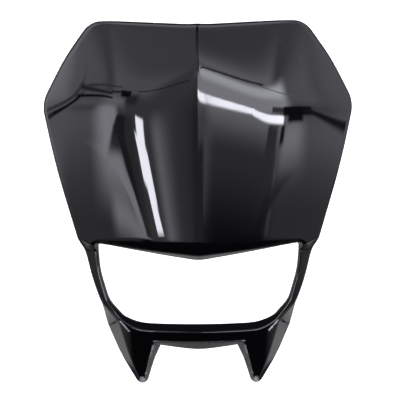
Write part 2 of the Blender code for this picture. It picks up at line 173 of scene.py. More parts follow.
@dataclass
class Outline:
    """The mask's outline and its lamp opening, as the corners of one half, from the crest to the chin."""

    wall: float = 0.0025
    arm_wall: float = 0.0016
    fang_wall: float = 0.0020
    arm_web: float = 0.0075
    crest_z: float = 0.0546
    top_corner: tuple[float, float] = (0.0901, 0.0664)
    upper_side: tuple[float, float] = (0.1133, 0.0366)
    shoulder: tuple[float, float] = (0.1338, 0.0)
    side_bow: float = 0.0025
    side_bow_share: float = 0.48
    heel: tuple[float, float] = (0.0159, 0.0058)
    brow_z: float = -0.1330
    opening_half_width: float = 0.0842
    brow_end_z: float = -0.1198
    side_drop: float = 0.0072
    lower_side: tuple[float, float] = (0.0823, -0.1430)
    opening_corner: tuple[float, float] = (0.0744, -0.1666)
    opening_foot: tuple[float, float] = (0.0620, -0.1786)
    side_inset: float = 0.0002
    neck_width: tuple[float, float] = (0.0097, -0.0014)
    arm_width: tuple[float, float] = (0.0060, -0.0050)
    elbow_width: tuple[float, float] = (0.0058, -0.0017)
    root_width: tuple[float, float] = (0.0035, -0.0044)
    foot_overhang: float = 0.0052
    chin_top_z: float = -0.1838
    brow_shift: float = 0.0049
    brow_end_shift: float = 0.0013
    side_shift: float = -0.0006
    chin_shift: float = 0.0031
    chin_height: float = 0.0124
    crotch_x: float = 0.0352
    fang_length: float = 0.0443
    fang_tip_x: float = 0.0473
    fang_outer_x: float = 0.0580
    fang_inner_x: float = 0.0415
    fang_mid_drop: float = 0.0170
    brow_roll: float = 0.0125
    brow_end_roll: float = 0.0036
    lip_roll: float = 0.0020
    crest_roll: float = 0.0045
    side_roll: float = 0.0030
    arm_roll: float = 0.0024
    ridge_roll: float = 0.0016

    def brow(self, share: float) -> tuple[tuple[float, float], float, float]:
        """The brow's point, draft and roll, each in proportion between the brow's centre and its end.

        Args:
            share: how far along, 0 at the centre and 1 at the end.

        Returns:
            The point (x, z), how far the front edge lies outside it, and the roll of the lip.
        """
        point = (self.opening_half_width * share, self.brow_z + (self.brow_end_z - self.brow_z) * share)
        shift = self.brow_shift + (self.brow_end_shift - self.brow_shift) * share
        return point, shift, self.brow_roll + (self.brow_end_roll - self.brow_roll) * share

    def foot(self, share: float) -> tuple[float, float]:
        """The opening's rounded foot, a parabola that runs level into the chin.

        Args:
            share: how far along, 0 at the foot's outer end and 1 beside the crotch.

        Returns:
            The point (x, z).
        """
        x, z = self.opening_foot
        end = self.crotch_x + self.foot_overhang
        return x + (end - x) * share, self.chin_top_z + (z - self.chin_top_z) * (1 - share) ** 2

    def bowed(self, heel: tuple[float, float]) -> tuple[float, float]:
        """The bow of the long side: a point on the line from shoulder to heel, moved out square to it.

        Args:
            heel: the heel's corner (x, z).

        Returns:
            The point (x, z).
        """
        run, fall = heel[0] - self.shoulder[0], heel[1] - self.shoulder[1]
        out = self.side_bow / math.hypot(run, fall)
        x = self.shoulder[0] + run * self.side_bow_share - fall * out
        return x, self.shoulder[1] + fall * self.side_bow_share + run * out

    def corners(self) -> list[Corner]:
        """The corners in order, from the crest's centre to the chin's centre.

        Returns:
            One row for each corner.
        """
        chin_edge = self.chin_top_z - self.chin_height
        mid_z = chin_edge - self.fang_mid_drop
        side = (self.opening_half_width - self.side_inset, self.brow_end_z - self.side_drop)
        heel = (self.opening_half_width + self.heel[0], self.brow_end_z + self.heel[1])
        neck = (side[0] + self.neck_width[0], side[1] + self.neck_width[1])
        arm = (self.lower_side[0] + self.arm_width[0], self.lower_side[1] + self.arm_width[1])
        elbow = (self.opening_corner[0] + self.elbow_width[0], self.opening_corner[1] + self.elbow_width[1])
        root = (self.opening_foot[0] + self.root_width[0], self.opening_foot[1] + self.root_width[1])
        wall, arm_wall, fang_wall, web = self.wall, self.arm_wall, self.fang_wall, self.arm_web
        lip, side_roll, ridge = self.lip_roll, self.side_roll, self.ridge_roll
        side_shift, shift = self.side_shift, self.chin_shift
        rows = []
        # over the brow: corner, its ease, the ease in the brow, share of the way along the brow, roll, steps
        plate = (
            ((0, self.crest_z), 0.014, 0.006, 0.0, self.crest_roll, 22),
            (self.top_corner, 0.0100, 0.006, 0.30, self.crest_roll, 10),
            (self.upper_side, 0.0120, 0.005, 0.54, side_roll, 10),
            (self.shoulder, 0.0102, 0.005, 0.76, side_roll, 14),
            (self.bowed(heel), 0.0260, 0.005, 0.88, side_roll, 14),
            (heel, 0.0030, 0.0024, 1.0, self.arm_roll, 10),
        )
        for edge, ease, hole_ease, share, roll, steps in plate:
            hole, draft, brow_roll = self.brow(share)
            flare, thickness = (0.0003, arm_wall) if edge == heel else (0.0004, wall)
            rows.append(Corner(edge, ease, hole, hole_ease, draft, flare, 0.0112, brow_roll, roll, thickness,
                               wall, steps))
        # below the brow, in the order of Corner's fields
        rows += [
            Corner(neck, 0.0045, side, 0.0022, side_shift, 0, 0.0105, lip, self.arm_roll, arm_wall, web, 8),
            Corner(arm, 0.008, self.lower_side, 0.008, side_shift, 0, 0.013, lip, self.arm_roll, arm_wall,
                   web, 8),
            Corner(elbow, 0.0045, self.opening_corner, 0.0055, side_shift, 0.0021, 0.016, lip, self.arm_roll,
                   arm_wall, web, 8),
            Corner(root, 0.003, self.opening_foot, 0.0022, shift * 0.3, 0.0117, 0.022, lip, ridge, arm_wall,
                   wall, 8),
            Corner((self.fang_outer_x, mid_z + 0.0014), 0.008, self.foot(0.25), 0.0014, shift * 0.6, 0.0088,
                   0.022, lip, ridge, fang_wall, wall, 8),
            Corner((self.fang_tip_x, chin_edge - self.fang_length), 0.0066, self.foot(0.48), 0.0014,
                   shift * 0.85, 0.0019, 0.013, lip, ridge, fang_wall, wall, 8),
            Corner((self.fang_inner_x, mid_z - 0.0018), 0.006, self.foot(0.72), 0.0014, shift, 0.0045, 0.022,
                   lip, ridge, fang_wall, wall, 8),
            Corner((self.crotch_x, chin_edge - 0.0004), 0.003, self.foot(1.0), 0.003, shift, 0.00583, 0.016,
                   lip, ridge, wall, wall, 14),
            Corner((0, chin_edge), 0.010, (0, self.chin_top_z), 0.010, shift, 0.0094, 0.016, lip, ridge,
                   wall, wall, 2),
        ]
        return rows


def corner_directions(points: np.ndarray) -> tuple[np.ndarray, np.ndarray]:
    """Directions into and out of each corner, with the line carried past both ends by its mirror image.

    Args:
        points: the corners (x, z), of which the first and last lie on the mirror plane.

    Returns:
        Unit directions from the corner before, and towards the corner after.
    """
    mirror = np.array([-1.0, 1.0])
    line = np.vstack([points[1] * mirror, points, points[-2] * mirror])
    return unit(line[1:-1] - line[:-2]), unit(line[2:] - line[1:-1])


def offset(points: np.ndarray, eases: np.ndarray, distance: np.ndarray) -> tuple[np.ndarray, np.ndarray]:
    """Moves corners outward along their bisectors, by the distance over the cosine of half the turn.

    Args:
        points: the corners (x, z).
        eases: distance from each corner at which its rounding begins.
        distance: how far each goes, outward where positive.

    Returns:
        The moved corners, and their roundings less the distance times the tangent of half the turn.
    """
    before, after = corner_directions(points)
    turn = np.arctan2(before[:, 0] * after[:, 1] - before[:, 1] * after[:, 0], (before * after).sum(1))
    outward = unit(np.column_stack([-(before[:, 1] + after[:, 1]), before[:, 0] + after[:, 0]]))
    moved = points + outward * (distance / np.cos(turn / 2))[:, None]
    return moved, np.maximum(eases - distance * np.tan(turn / 2), LEAST_ROUNDING)


def rail(points: np.ndarray, eases: np.ndarray, stations: np.ndarray) -> np.ndarray:
    """Points of a rounded line of corners, where a whole station is the middle of a corner's arc.

    Each rounding is a weighted quadratic arc, whose middle weight, the cosine of half the turn, makes it
    circular. Between roundings the points run straight.

    Args:
        points: the corners (x, z).
        eases: distance from each corner at which its rounding begins.
        stations: where points are wanted.

    Returns:
        A point (x, z) for each station.
    """
    before, after = corner_directions(points)
    lengths = np.linalg.norm(np.diff(points, axis=0), axis=1)
    room = np.concatenate([[lengths[0]], np.minimum(lengths[:-1], lengths[1:]), [lengths[-1]]])
    eases = np.minimum(eases, EASE_LIMIT * room)
    start, end = points - before * eases[:, None], points + after * eases[:, None]
    weight = np.sqrt(np.maximum((1 + (before * after).sum(1)) / 2, 0))
    index = np.minimum(np.floor(stations).astype(int), len(points) - 2)
    local = stations - index

    def arc(corner: np.ndarray, share: np.ndarray) -> np.ndarray:
        """The weighted mean of the arc's start, corner and end."""
        first, middle, last = (1 - share) ** 2, 2 * weight[corner] * share * (1 - share), share**2
        mixed = start[corner] * first[:, None] + points[corner] * middle[:, None]
        return (mixed + end[corner] * last[:, None]) / (first + middle + last)[:, None]

    share = np.clip((local - FILLET_SHARE) / (1 - 2 * FILLET_SHARE), 0, 1)[:, None]
    found = end[index] * (1 - share) + start[index + 1] * share
    leaving = arc(index, np.clip(local / FILLET_SHARE, 0, 1) / 2 + 0.5)
    arriving = arc(index + 1, np.clip((local - 1 + FILLET_SHARE) / FILLET_SHARE, 0, 1) / 2)
    found = np.where((local < FILLET_SHARE)[:, None], leaving, found)
    return np.where((local > 1 - FILLET_SHARE)[:, None], arriving, found)


def grid_faces(count: int, rows: int, wrap: tuple[bool, bool]) -> np.ndarray:
    """Corner numbers of the quads of a grid, closed round either way where asked.

    Args:
        count: points along the first way.
        rows: points along the second way.
        wrap: whether each way closes on itself.

    Returns:
        Four corner numbers a row.
    """
    i = np.arange(count if wrap[0] else count - 1)
    j = np.arange(rows if wrap[1] else rows - 1)
    i, j = np.meshgrid(i, j, indexing="ij")
    k, m = (i + 1) % count, (j + 1) % rows
    return np.stack([i * rows + j, k * rows + j, k * rows + m, i * rows + m], axis=-1).reshape(-1, 4)


def make_mesh(name: str, points: np.ndarray, faces: np.ndarray) -> bpy.types.Mesh:
    """Puts points and quads into a smooth mesh with foreach_set.

    Args:
        name: the mesh's name.
        points: places, one row each.
        faces: four corner numbers a row, anticlockwise seen from outside.

    Returns:
        The mesh.
    """
    mesh = bpy.data.meshes.new(name)
    mesh.vertices.add(len(points))
    mesh.vertices.foreach_set("co", points.astype(np.float32).ravel())
    mesh.loops.add(faces.size)
    mesh.loops.foreach_set("vertex_index", faces.astype(np.int32).ravel())
    mesh.polygons.add(len(faces))
    mesh.polygons.foreach_set("loop_start", np.arange(0, faces.size, 4, dtype=np.int32))
    mesh.update(calc_edges=True)
    mesh.validate()
    mesh.shade_smooth()
    return mesh


@dataclass
class MaskShell:
    """The one moulded shell: a closed section carried round the lamp opening."""

    outline: Outline = field(default_factory=Outline)
    plate: PlateFacets = field(default_factory=PlateFacets)
    lamp_frame: LampFrame = field(default_factory=LampFrame)
    fillet_steps: int = 7
    rim_radius: float = 0.0005
    rim_steps: int = 3
    outer_rows: tuple[int, int, int] = (8, 46, 7)
    inner_rows: tuple[int, int, int] = (4, 18, 2)
    # stations over which the plate passes into the lamp frame
    blend_start: float = 5.1
    blend_length: float = 0.8
    lip_limit: float = 0.9
    least_slope: float = 0.5
    seat_step: float = 0.0010
    # wear: the tip's middle and reach; pale lines, wear and painted highlights, as start, end, width and
    # strength
    tip: tuple[float, float] = (0.0470, -0.2340)
    tip_reach: tuple[float, float] = (0.0040, 0.0060)
    scratches_and_highlights: tuple[tuple[tuple[float, float], tuple[float, float], float, float], ...] = (
        # chipping with a painted highlight, across the bend from the arm into the fang
        ((0.0636, -0.1819), (0.0563, -0.1890), 0.0012, 1.0),
        # painted highlight along the fang's inner ridge
        ((0.0368, -0.2005), (0.0437, -0.2274), 0.0013, 0.95),
        # painted highlight along the chin's lower edge
        ((0.0, -0.1969), (0.0360, -0.1965), 0.0012, 0.9),
    )
    wear_and_highlight_forward: float = 0.020
    wear_and_highlight_fade: float = 0.008

    def stations(self) -> np.ndarray:
        """Station numbers of one half: even steps in each rounding and along each straight.

        Returns:
            Numbers from the crest's centre to the chin's centre.
        """
        table = self.outline.corners()
        near = np.linspace(0, FILLET_SHARE, self.fillet_steps + 1)[:-1]
        found = []
        for index, corner in enumerate(table[:-1]):
            middle = np.linspace(FILLET_SHARE, 1 - FILLET_SHARE, corner.steps + 1)
            found.append(index + np.concatenate([near, middle, 1 - near[1:][::-1]]))
        return np.append(np.concatenate(found), float(len(table) - 1))

    def face(self, stations: np.ndarray, x: np.ndarray, z: np.ndarray) -> np.ndarray:
        """The plate's height, passing smoothly to the frame's between the brow's end and the neck."""
        share = smooth((stations - self.blend_start) / self.blend_length)
        return self.plate.forward(x, z) * (1 - share) + self.lamp_frame.forward(x, z) * share

    def skin(self, stations: np.ndarray, inward: int, mesh_rows: tuple[int, int, int]) -> np.ndarray:
        """One skin, from the opening's rear edge over the face to the outer rear edge.

        In plan a point goes straight from the lip to the start of the edge's roll, and on to the edge. The
        rolls drop from the face by a quarter circle, and the walls run straight back to the seat and rim.

        Args:
            stations: station numbers of one half.
            inward: 0 for the outer skin, 1 for the skin a wall's thickness inside it.
            mesh_rows: rows of mesh in the lip's roll, in the face and in the edge's roll.

        Returns:
            Points [station, row] as (x, forward, z).
        """
        lip_rows, face_rows, edge_rows = mesh_rows
        table = self.outline.corners()
        names = ("edge_ease", "hole_ease", "shift", "flare", "depth", "lip_roll", "edge_roll", "wall", "web")
        column = {name: np.array([getattr(corner, name) for corner in table], float) for name in names}
        hole = np.array([corner.hole for corner in table], float)
        outer_edge = np.array([corner.edge for corner in table], float)
        wall = column["wall"] * inward
        outer, outer_ease = offset(outer_edge, column["edge_ease"], -wall)
        skirt = offset(*offset(outer_edge, column["edge_ease"], column["flare"]), -wall)
        edge_roll = np.maximum(column["edge_roll"] - wall, LEAST_ROUNDING)
        lip_roll = np.maximum(column["lip_roll"] - wall, LEAST_ROUNDING)
        lip_back = rail(*offset(hole, column["hole_ease"], wall), stations)
        lip_front = rail(*offset(hole, column["hole_ease"], column["shift"] + wall), stations)
        roll_start = rail(*offset(outer, outer_ease, -edge_roll), stations)
        roll_end = rail(outer, outer_ease, stations)
        skirt_end = rail(*skirt, stations)

        def blend(values: np.ndarray) -> np.ndarray:
            """A column's value between its corners."""
            return np.interp(stations, np.arange(len(values)), values)

        ray = roll_start - lip_front
        span = np.linalg.norm(ray, axis=1)
        lip_radius = np.minimum(blend(lip_roll), self.lip_limit * span)[:, None]
        edge_radius = blend(edge_roll)[:, None]
        share = lip_radius / span[:, None]
        turn = np.linspace(0, math.pi / 2, lip_rows + 1)[None]
        step = np.linspace(0, 1, face_rows + 1)[None, 1:]
        last = np.linspace(0, math.pi / 2, edge_rows + 1)[None, 1:]
        along = np.concatenate([share * (1 - np.cos(turn)), share * (1 - step) + step], axis=1)[:, :, None]
        plan = np.concatenate([
            lip_front[:, None] + ray[:, None] * along,
            roll_start[:, None] + (roll_end - roll_start)[:, None] * np.sin(last)[:, :, None],
        ], axis=1)
        drop = np.concatenate([
            lip_radius * (1 - np.sin(turn)),
            np.zeros((len(span), face_rows)),
            edge_radius * (1 - np.cos(last)),
        ], axis=1)
        forward = self.face(stations[:, None], plan[:, :, 0], plan[:, :, 1])
        if inward:
            surface = np.dstack([plan[:, :, 0], forward, plan[:, :, 1]])
            across = np.cross(np.gradient(surface, axis=0), np.gradient(surface, axis=1))
            slope = np.abs(across[:, :, 1]) / np.maximum(np.linalg.norm(across, axis=2), 1e-12)
            forward = forward - blend(column["web"])[:, None] / np.clip(slope, self.least_slope, 1)
        forward = forward - drop
        true_edge = rail(outer_edge, column["edge_ease"], stations)
        back = self.face(stations, true_edge[:, 0], true_edge[:, 1])
        back = back - blend(column["edge_roll"]) - blend(column["depth"])
        seat = self.lamp_frame.seat(rail(hole, column["hole_ease"], stations)[:, 0])
        forward[:, 0] = np.maximum(forward[:, 0], seat + self.seat_step)
        rows = [
            np.dstack([lip_back[:, None, 0], seat[:, None], lip_back[:, None, 1]]),
            np.dstack([plan[:, :, 0], forward, plan[:, :, 1]]),
            np.dstack([skirt_end[:, None, 0], back[:, None], skirt_end[:, None, 1]]),
        ]
        return np.concatenate(rows, axis=1)

    def rim(self, end: np.ndarray, wall: np.ndarray, other: np.ndarray) -> np.ndarray:
        """A quarter round from a wall on to its rim, which replaces the wall's last point.

        Args:
            end: the wall's last points.
            wall: the wall's points before them.
            other: the last points of the wall on the far side.

        Returns:
            Points [station, step] from the wall to the rim.
        """
        up, over = unit(wall - end), unit(other - end)
        turn = np.linspace(0, math.pi / 2, self.rim_steps + 1)[None, :, None]
        along, across = up[:, None] * (1 - np.sin(turn)), over[:, None] * (1 - np.cos(turn))
        return end[:, None] + self.rim_radius * (along + across)

    def ring(self) -> np.ndarray:
        """The whole closed section at every station, both halves.

        Returns:
            Points [station, row] as (x, y, z).
        """
        stations = self.stations()
        outer = self.skin(stations, 0, self.outer_rows)
        inner = self.skin(stations, 1, self.inner_rows)
        lip_out = self.rim(outer[:, 0], outer[:, 1], inner[:, 0])[:, ::-1]
        skirt_out = self.rim(outer[:, -1], outer[:, -2], inner[:, -1])
        skirt_in = self.rim(inner[:, -1], inner[:, -2], outer[:, -1])[:, ::-1]
        lip_in = self.rim(inner[:, 0], inner[:, 1], outer[:, 0])
        bands = [lip_out, outer[:, 1:-1], skirt_out, skirt_in, inner[:, 1:-1][:, ::-1], lip_in]
        half = np.concatenate(bands, axis=1)
        half[0, :, 0] = 0
        half[-1, :, 0] = 0
        other = half[1:-1][::-1] * np.array([-1.0, 1.0, 1.0])
        whole = np.concatenate([half, other], axis=0)
        return np.stack([whole[..., 0], -whole[..., 1], whole[..., 2]], axis=-1)

    def mesh(self) -> bpy.types.Mesh:
        """The closed shell's mesh, with an attribute that gives each point's share of wear and of painted
        highlight.

        Returns:
            The mesh.
        """
        ring = self.ring()
        faces = grid_faces(ring.shape[0], ring.shape[1], (True, True))
        points = ring.reshape(-1, 3)
        outward = faces[:, ::-1] if self.inside_out(points, faces) else faces
        mesh = make_mesh("mask_shell_fine", points, outward)
        # the attribute carries the tip wear and the pale lines, most of them painted highlights along edges
        attribute = mesh.attributes.new("wear_and_highlight_share", "FLOAT", "POINT")
        attribute.data.foreach_set("value", self.wear_and_highlight_share(points).astype(np.float32))
        return mesh

    @staticmethod
    def inside_out(points: np.ndarray, faces: np.ndarray) -> bool:
        """Whether the volume, the sum of the signed tetrahedra under each face, is negative."""
        p, q, r, s = (points[faces[:, k]] for k in range(4))
        return float((p * (np.cross(q, r) + np.cross(r, s))).sum()) < 0

    @staticmethod
    def streak(
        x: np.ndarray, z: np.ndarray, start: tuple[float, float], end: tuple[float, float], width: float
    ) -> np.ndarray:
        """How near points lie to a straight pale line: 1 on it, fading with the square of the distance.

        Args:
            x: the points' distance from the mirror plane.
            z: their height.
            start: the line's first end, as distance and height.
            end: its other end.
            width: the distance at which it has faded to a third.

        Returns:
            A share from 0 to 1 for each point.
        """
        run, climb = end[0] - start[0], end[1] - start[1]
        along = np.clip(((x - start[0]) * run + (z - start[1]) * climb) / (run * run + climb * climb), 0, 1)
        gap = np.hypot(x - start[0] - along * run, z - start[1] - along * climb)
        return np.exp(-((gap / width) ** 2))

    def wear_and_highlight_share(self, points: np.ndarray) -> np.ndarray:
        """Wear and painted highlights: a bell-shaped patch of wear on each fang's tip, and the pale lines,
        on the front alone.

        Args:
            points: places, one row each.

        Returns:
            A share from 0 to 1 for each point.
        """
        x, y, z = np.abs(points[:, 0]), points[:, 1], points[:, 2]
        tip_x, tip_z = (x - self.tip[0]) / self.tip_reach[0], (z - self.tip[1]) / self.tip_reach[1]
        worn_and_highlit = np.exp(-(tip_x**2 + tip_z**2))
        # pale lines: chipping with a painted highlight across the arm's bend, painted highlights on the
        # fang's ridge and the chin's edge
        for start, end, width, strength in self.scratches_and_highlights:
            worn_and_highlit = worn_and_highlit + strength * self.streak(x, z, start, end, width)
        return np.clip(worn_and_highlit, 0, 1) * smooth((-y - self.wear_and_highlight_forward) / self.wear_and_highlight_fade)


@dataclass
class BackFixings:
    """Strap pegs, lamp bosses and the beam tab, moulded on the hidden side of the plate and the chin."""

    plate: PlateFacets = field(default_factory=PlateFacets)
    wall: float = 0.0025
    overlap: float = 0.0008
    peg_radius: float = 0.0035
    peg_head_radius: float = 0.0060
    peg_head: float = 0.0030
    peg_length: float = 0.0170
    pegs: tuple[tuple[float, float], ...] = ((0.0960, -0.0060), (0.0760, -0.1010))
    boss: tuple[float, float] = (0.0380, -0.1125)
    boss_radius: float = 0.0045
    boss_back: float = 0.0493
    pilot_radius: float = 0.0016
    pilot_depth: float = 0.0140
    tab_low: tuple[float, float, float] = (-0.0080, -0.0640, -0.1892)
    tab_high: tuple[float, float, float] = (0.0080, -0.0413, -0.1862)
    tab_hole_radius: float = 0.0026
    tab_hole_y: float = -0.0478
    tab_edge: float = 0.0004
    boss_side: float = 0.0010
    fillet: float = 0.0010
    fillet_middle: float = 0.0003
    head_edge: float = 0.0004
    head_side: float = 0.0006
    end_ease: float = 0.0005
    end_steps: int = 4
    hole_edge: float = 0.0003
    round_steps: int = 48
    tab_steps: int = 96
    sharp_angle: float = 40.0

    def inner(self, x: np.ndarray, z: np.ndarray) -> np.ndarray:
        """The hidden face: the plate less its wall times the root of one plus its slopes squared.

        Args:
            x: distance from the mirror plane.
            z: height.

        Returns:
            Distance forward of the back plane.
        """
        step = 0.001
        slope_x = (self.plate.forward(x + step, z) - self.plate.forward(x - step, z)) / (2 * step)
        slope_z = (self.plate.forward(x, z + step) - self.plate.forward(x, z - step)) / (2 * step)
        return self.plate.forward(x, z) - self.wall * np.sqrt(1 + slope_x**2 + slope_z**2)

    def turned(self, centre: tuple[float, float], profile: list[tuple[float, float]]) -> np.ndarray:
        """A profile turned about an axis along Y, with its first two rings let into the plate's hidden face.

        Args:
            centre: the axis (x, z).
            profile: (radius, forward) pairs, closed on the axis at both ends.

        Returns:
            Points [ring, step].
        """
        angle = np.linspace(0, 2 * math.pi, self.round_steps, endpoint=False)
        pairs = np.array(profile)
        x = centre[0] + pairs[:, :1] * np.cos(angle)
        z = centre[1] + pairs[:, :1] * np.sin(angle)
        forward = np.broadcast_to(pairs[:, 1:], x.shape).copy()
        forward[:2] = self.inner(x[:2], z[:2]) + self.overlap
        return np.stack([x, -forward, z], axis=-1)

    def rounded(self, radius: float, top: float, end: float) -> list[tuple[float, float]]:
        """A rod's profile from its root to a rear end whose edge is rounded by a quarter circle.

        Args:
            radius: the rod's radius.
            top: how far forward its side begins.
            end: how far forward its rear end lies.

        Returns:
            Pairs (radius, forward).
        """
        ease, turn = self.end_ease, np.linspace(0, math.pi / 2, self.end_steps + 1)
        arc = [(radius - ease * (1 - math.cos(t)), end + ease * (1 - math.sin(t))) for t in turn]
        return [(radius, top)] + arc

    def peg(self, centre: tuple[float, float]) -> np.ndarray:
        """A peg with a thin flat head, turned from one profile.

        Args:
            centre: its axis (x, z).

        Returns:
            Points [ring, step].
        """
        root = float(self.inner(np.array(centre[0]), np.array(centre[1])))
        end = root - self.peg_length
        neck, head, top = self.peg_radius, self.peg_head_radius, end + self.peg_head
        profile = [(AXIS_RADIUS, root), (neck, root), (neck, top + self.fillet)]
        profile += [(neck + self.fillet_middle, top + self.fillet_middle), (neck + self.fillet, top)]
        profile += [(head - self.head_edge, top), (head, top - self.head_edge)]
        profile += self.rounded(head, top - self.head_side, end) + [(AXIS_RADIUS, end)]
        return self.turned(centre, profile)

    def screw_boss(self, centre: tuple[float, float]) -> np.ndarray:
        """A round boss with a blind pilot hole in its rear end.

        Args:
            centre: its axis (x, z).

        Returns:
            Points [ring, step].
        """
        root = float(self.inner(np.array(centre[0]), np.array(centre[1])))
        back, pilot, bottom = self.boss_back, self.pilot_radius, self.boss_back + self.pilot_depth
        profile = [(AXIS_RADIUS, root), (self.boss_radius, root)]
        profile += self.rounded(self.boss_radius, root - self.boss_side, back)
        profile += [(pilot + self.hole_edge, back), (pilot, back + self.hole_edge), (pilot, bottom)]
        profile += [(AXIS_RADIUS, bottom)]
        return self.turned(centre, profile)

    def tab(self) -> tuple[np.ndarray, np.ndarray]:
        """The beam tab, a plate with a hole, as rings from the hole's wall over a face to the edge and back.

        Each ring is a circle or a rectangle. A rectangle's point at an angle is the circle's direction held
        to the sides.

        Returns:
            Points [ring, step], and the quads.
        """
        angle = np.linspace(0, 2 * math.pi, self.tab_steps, endpoint=False)
        low, high = np.array(self.tab_low), np.array(self.tab_high)
        circle = np.stack([np.cos(angle), np.sin(angle)], axis=-1)
        square = circle / np.maximum(np.abs(circle[:, :1]), np.abs(circle[:, 1:]))
        centre = np.array([0.0, self.tab_hole_y])
        side = np.where(square > 0, high[:2] - centre, centre - low[:2])
        edge = centre + square * side
        bottom, top, bevel, ease = low[2], high[2], self.tab_edge, self.hole_edge
        inset = centre + square * (side - bevel)
        hole = centre + circle * self.tab_hole_radius
        mouth = centre + circle * (self.tab_hole_radius + ease)
        rings = [
            (hole, bottom + ease), (mouth, bottom), (inset, bottom), (edge, bottom + bevel),
            (edge, top - bevel), (inset, top), (mouth, top), (hole, top - ease),
        ]
        points = np.stack([np.column_stack([ring, np.full(len(ring), z)]) for ring, z in rings])
        return points, grid_faces(len(rings), len(angle), (True, True))

    def mesh(self) -> bpy.types.Mesh:
        """All the fixings in one mesh.

        Returns:
            The mesh.
        """
        rods = []
        for sign in (1, -1):
            rods += [self.peg((sign * x, z)) for x, z in self.pegs]
            rods.append(self.screw_boss((sign * self.boss[0], self.boss[1])))
        grids = [(rod, grid_faces(rod.shape[0], rod.shape[1], (False, True))) for rod in rods] + [self.tab()]
        points, faces, start = [], [], 0
        for grid, quads in grids:
            flat = grid.reshape(-1, 3)
            outward = quads[:, ::-1] if MaskShell.inside_out(flat - flat.mean(0), quads) else quads
            points.append(flat)
            faces.append(outward + start)
            start += len(flat)
        mesh = make_mesh("back_fixings", np.concatenate(points), np.concatenate(faces))
        mesh.set_sharp_from_angle(angle=math.radians(self.sharp_angle))
        return mesh


def linear(colour: str) -> tuple[float, float, float, float]:
    """An sRGB hex colour as linear light, by the sRGB curve.

    Args:
        colour: a hash sign and six hex digits.

    Returns:
        Red, green, blue and alpha.
    """
    parts = [int(colour[i : i + 2], 16) / 255 for i in (1, 3, 5)]
    red, green, blue = (c / 12.92 if c <= 0.04045 else ((c + 0.055) / 1.055) ** 2.4 for c in parts)
    return red, green, blue, 1.0


def node(
    tree: bpy.types.NodeTree,
    kind: str,
    inputs: dict[str | int, object] | None = None,
    settings: dict[str, object] | None = None,
) -> bpy.types.Node:
    """Adds a node.

    Args:
        tree: the node tree.
        kind: the node's type.
        inputs: for each input, a value, or an output socket to link from.
        settings: for each property, its value.

    Returns:
        The node.
    """
    made = tree.nodes.new(kind)
    for name, value in (settings or {}).items():
        setattr(made, name, value)
    for name, value in (inputs or {}).items():
        if isinstance(value, bpy.types.NodeSocket):
            tree.links.new(value, made.inputs[name])
        else:
            made.inputs[name].default_value = value
    return made


class Texture(Enum):
    """How finely the mould of a face was worked."""

    POLISHED = "polished"
    PLAIN = "plain"


